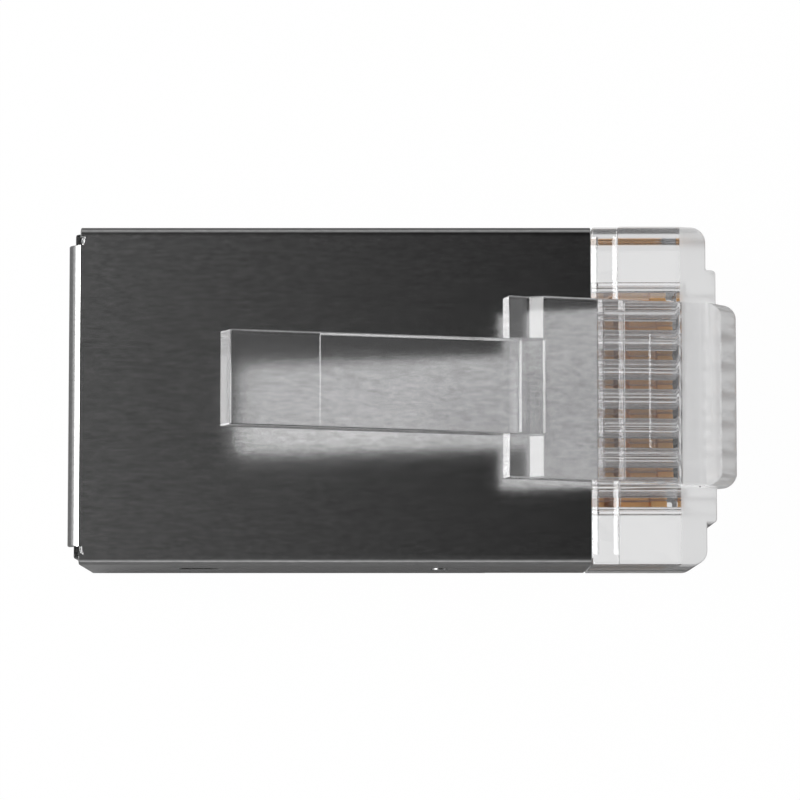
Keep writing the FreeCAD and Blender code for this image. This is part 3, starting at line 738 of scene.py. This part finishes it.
def clear_plastic(name):
    """Polished clear plastic; also returns its parts, so that it can be frosted."""
    finish, tree, shader = new_finish(name)
    waves = stretched_noise(tree, FLOW_WAVES, FLOW_STRETCH, detail=2.0)
    polish = between(tree, waves, *POLISH)
    shader.inputs["Base Color"].default_value = CLEAR_TINT
    shader.inputs["IOR"].default_value = PLASTIC_IOR
    shader.inputs["Transmission Weight"].default_value = 1.0
    join(tree, polish, shader.inputs["Roughness"])
    roughen(tree, shader, waves, FLOW_DEPTH)
    return finish, tree, shader, polish


latch_plastic = clear_plastic("clear_latch_plastic")[0]
dress(arm, latch_plastic)


# %% [markdown]
# The nose ahead of the contacts is a little milky, because that part of the tool isn't polished. A rough
# transmission alone would stay grey there, so some of it becomes plain white scattering, and the nose is
# given a faint painted glow: it gives off light though it is no lamp, standing in for the light that bounces
# about inside the milky plastic. The change happens at one line along the plug, and only above the height
# where the nose is thick: two steps, one along X and one along Z, are multiplied.

# %% The milky nose, with a painted glow
FROST_FROM = high.x - 1.98 * MM
FROST_ABOVE = 5.2 * MM
FROST_EDGE = 0.05 * MM
FROST_ROUGHNESS = 0.18
MILK = 0.60
# Strength of the painted glow, as a share of the milk: light the nose gives off though it is no lamp.
PAINTED_GLOW = 0.30


def frost_nose_with_painted_glow(tree, shader, polish):
    """Frost the plastic ahead of one line and above one height, and give it a painted glow there."""
    place = add(tree, "TexCoord")
    split = add(tree, "SeparateXYZ")
    join(tree, place.outputs["Object"], split.inputs["Vector"])
    steps = [between(tree, split.outputs[axis], 0.0, 1.0, edge, edge + FROST_EDGE)
             for axis, edge in (("X", FROST_FROM), ("Z", FROST_ABOVE))]
    share = calculate(tree, "MULTIPLY", *steps)
    rougher = between(tree, share, 0.0, FROST_ROUGHNESS, 0.0, 1.0)
    join(tree, calculate(tree, "ADD", polish, rougher), shader.inputs["Roughness"])
    join(tree, between(tree, share, 1.0, 1.0 - MILK, 0.0, 1.0),
         shader.inputs["Transmission Weight"])
    # Painted glow: the milky nose gives off a faint white light of its own, though it is no lamp.
    shader.inputs["Emission Color"].default_value = PLAIN_WHITE
    join(tree, between(tree, share, 0.0, MILK * PAINTED_GLOW, 0.0, 1.0),
         shader.inputs["Emission Strength"])


housing_plastic, *parts = clear_plastic("clear_polycarbonate")
frost_nose_with_painted_glow(*parts)
dress(moulding, housing_plastic)


# %% [markdown]
# ## Gold-plated contacts
#
# Each blade is stamped from copper alloy strip and plated with a flash of gold, so it
# looks warmer than solid gold. Stamping drags fine lines down its sides. Noise drawn out
# along the plug varies both the tone and the roughness between those lines.

# %% Gold plate
GOLD_LINES = 2500.0
GOLD_DEEP = (0.95, 0.42, 0.13, 1.0)
GOLD_PALE = (1.0, 0.64, 0.28, 1.0)
GOLD_ROUGHNESS = (0.35, 0.50)


def gold_plate():
    finish, tree, shader = new_finish("gold_plate")
    streaks = stretched_noise(tree, GOLD_LINES, ROLLED)
    shader.inputs["Metallic"].default_value = 1.0
    two_tones(tree, shader, streaks, GOLD_DEEP, GOLD_PALE)
    join(tree, between(tree, streaks, *GOLD_ROUGHNESS), shader.inputs["Roughness"])
    return finish


gold = gold_plate()
for blade in blades:
    dress(blade, gold)


# %% [markdown]
# ## A white table
#
# The plug lies on white paper. Shown as written, a lit white surface clips or falls to
# grey with every change of the lamps, so the paper's look is split by the kind of ray:
# the camera sees an even white with a share of the real shading, which keeps the plug's
# shadow, and rays that pass through the clear plastic see nearly the same. Mirror rays
# from the metal see a plain darker paper, which gives the shield its depth.

# %% Table
SEEN_DIRECT = 0.95
SEEN_THROUGH = 0.80
PAPER_GLOW = 1.04
PAPER_TONE = (0.30, 0.30, 0.30, 1.0)
PAPER_ROUGHNESS = 0.9
TABLE_SIDE = 1.0


def white_table():
    finish, tree, shader = new_finish("table_white")
    shader.inputs["Base Color"].default_value = PAPER_TONE
    shader.inputs["Roughness"].default_value = PAPER_ROUGHNESS
    path = add(tree, "LightPath")
    through = calculate(tree, "MULTIPLY", path.outputs["Is Transmission Ray"], SEEN_THROUGH)
    direct = calculate(tree, "MULTIPLY", path.outputs["Is Camera Ray"], SEEN_DIRECT)
    glow = add(tree, "Emission", Strength=PAPER_GLOW)
    mix = add(tree, "MixShader")
    join(tree, calculate(tree, "ADD", through, direct), mix.inputs["Fac"])
    join(tree, shader.outputs["BSDF"], mix.inputs[1])
    join(tree, glow.outputs["Emission"], mix.inputs[2])
    output = next(node for node in tree.nodes if node.type == "OUTPUT_MATERIAL")
    join(tree, mix.outputs["Shader"], output.inputs["Surface"])
    return finish


bpy.ops.mesh.primitive_plane_add(size=TABLE_SIDE, location=(0, 0, low.z))
table = bpy.context.object
table.name = "table"
dress(table, white_table())
table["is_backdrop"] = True


# %% [markdown]
# ## The room
#
# A shiny plug shows the room more than its own colour. The room here is the usual one for
# small shiny things: pale near the table, fading to dark overhead so that the flat metal
# looks dark, and one soft lamp behind the cable end. The sky is worked out from the
# direction a ray looks in, with a faint glow towards the lamp's side that shades the
# shield from end to end. Rays that pass through the plastic see a paler sky than mirror
# rays do, and only the camera itself sees plain white in its place.

# %% A sky that is pale low down and dark overhead
LAMP_SIDE = (-1.0, -0.10, 0.0)
OVERHEAD_GLOW = (-0.034, 0.080)
GLOW_SPAN = (-0.10, 0.12)
MIRRORED_LEVELS = (0.60, 0.04)
MIRRORED_SPAN = (0.1, 0.6)
SEEN_THROUGH_LEVELS = (1.05, 0.72)
SEEN_THROUGH_SPAN = (0.2, 0.8)


def sky_level(tree, path):
    """How bright the sky is, by direction and by kind of ray."""
    look = add(tree, "TexCoord")
    split = add(tree, "SeparateXYZ")
    join(tree, look.outputs["Generated"], split.inputs["Vector"])
    height = split.outputs["Z"]
    lean = add(tree, "VectorMath", operation="DOT_PRODUCT")
    lean.inputs[1].default_value = LAMP_SIDE
    join(tree, look.outputs["Generated"], lean.inputs[0])
    glow = between(tree, lean.outputs["Value"], *OVERHEAD_GLOW, *GLOW_SPAN)
    mirrored = calculate(
        tree, "ADD", between(tree, height, *MIRRORED_LEVELS, *MIRRORED_SPAN), glow)
    level = add(tree, "Mix", data_type="FLOAT")
    join(tree, path.outputs["Is Transmission Ray"], level.inputs["Factor"])
    join(tree, mirrored, level.inputs["A"])
    join(tree, between(tree, height, *SEEN_THROUGH_LEVELS, *SEEN_THROUGH_SPAN),
         level.inputs["B"])
    return level.outputs["Result"]


def studio_sky():
    world = bpy.data.worlds.new("studio")
    bpy.context.scene.world = world
    world.use_nodes = True
    tree = world.node_tree
    tree.nodes.clear()
    path = add(tree, "LightPath")
    sky = add(tree, "Background", Color=PLAIN_WHITE)
    join(tree, sky_level(tree, path), sky.inputs["Strength"])
    paper = add(tree, "Background", Color=PLAIN_WHITE, Strength=1.0)
    mix = add(tree, "MixShader")
    join(tree, path.outputs["Is Camera Ray"], mix.inputs["Fac"])
    join(tree, sky.outputs["Background"], mix.inputs[1])
    join(tree, paper.outputs["Background"], mix.inputs[2])
    output = add(tree, "OutputWorld")
    join(tree, mix.outputs["Shader"], output.inputs["Surface"])
    print(world.name, "sky has", len(tree.nodes), "nodes")


studio_sky()


# %% [markdown]
# ## The lamp
#
# Two square lamps share one place behind the cable end. The wide one is weak and gives
# the even light. The narrow one in its middle is what the underside of the latch mirrors
# down onto the shield: the bright patch there is the lamp, seen twice over.

# %% The soft lamp behind the cable end
CABLE_END = (-1.0, 0.04)
WIDE_LAMP = {"down": 44, "distance": 0.30, "side": 0.31, "radiance": 2.0}
BRIGHT_MIDDLE = {"down": 40, "distance": 0.29, "side": 0.09, "radiance": 6.8}


def from_zenith(degrees):
    """Direction this far down from straight overhead, towards the cable end."""
    turn = math.radians(degrees)
    flat = Vector((*CABLE_END, 0.0)).normalized() * math.sin(turn)
    return flat + Vector((0.0, 0.0, math.cos(turn)))


def soft_lamp(name, down, distance, side, radiance):
    """A square lamp facing the plug; radiance 1 looks as bright as white paper."""
    lamp = bpy.data.lights.new(name, "AREA")
    lamp.size = side
    lamp.energy = radiance * math.pi * side * side
    holder = place_object(name, lamp)
    place = from_zenith(down).normalized()
    holder.location = place * distance
    holder.rotation_euler = place.to_track_quat("Z", "Y").to_euler()
    holder.visible_camera = False
    print(name, "radiance", radiance, "over", round((side / distance) ** 2, 2), "sr")


soft_lamp("wide_lamp", **WIDE_LAMP)
soft_lamp("bright_middle", **BRIGHT_MIDDLE)


# %% [markdown]
# ## The camera
#
# A long lens looks almost straight down on the latch side, tipped a few degrees so that
# one side wall just shows. The focal length follows from the distance and from how wide
# a strip of the plug's top should fill the picture. Light crosses the clear plastic many
# times before it leaves, so the ray limits are set high, or the nose would turn black.

# %% Camera
CAMERA_TILT = math.radians(5.2)
CAMERA_REACH = 134 * MM
VIEW_WIDTH = 27.35 * MM
SENSOR_WIDTH = 36.0
NEAREST_SEEN = 0.005
FARTHEST_SEEN = 10.0
AIM = (-0.085 * MM, -0.173 * MM)
MOST_BOUNCES = 48
CLEAR_BOUNCES = 32
lens = bpy.data.cameras.new("camera")
lens.sensor_width = SENSOR_WIDTH
lens.lens = lens.sensor_width * CAMERA_REACH / VIEW_WIDTH
lens.clip_start = NEAREST_SEEN
lens.clip_end = FARTHEST_SEEN
camera = place_object("camera", lens)
back = Vector((0, -math.sin(CAMERA_TILT), math.cos(CAMERA_TILT)))
camera.location = Vector((*AIM, deck_level)) + CAMERA_REACH * back
camera.rotation_euler = (CAMERA_TILT, 0, 0)
scene = bpy.context.scene
scene.camera = camera
scene.view_settings.view_transform = "Standard"
scene.cycles.max_bounces = MOST_BOUNCES
scene.cycles.transmission_bounces = CLEAR_BOUNCES
scene.cycles.glossy_bounces = CLEAR_BOUNCES
print("lens", round(lens.lens), "mm at", round(CAMERA_REACH / MM), "mm")


# %% [markdown]
# ## A last look at the sizes
#
# The dressed plug must still fill the same box as the CAD model. Both boxes' sizes are printed side by side,
# axis by axis.

# %% Sizes
final_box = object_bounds()
for side, was, now in zip("XYZ", high - low, Vector(final_box[1]) - Vector(final_box[0])):
    print(side, "was", round(was / MM, 3), "mm and is", round(now / MM, 3), "mm")
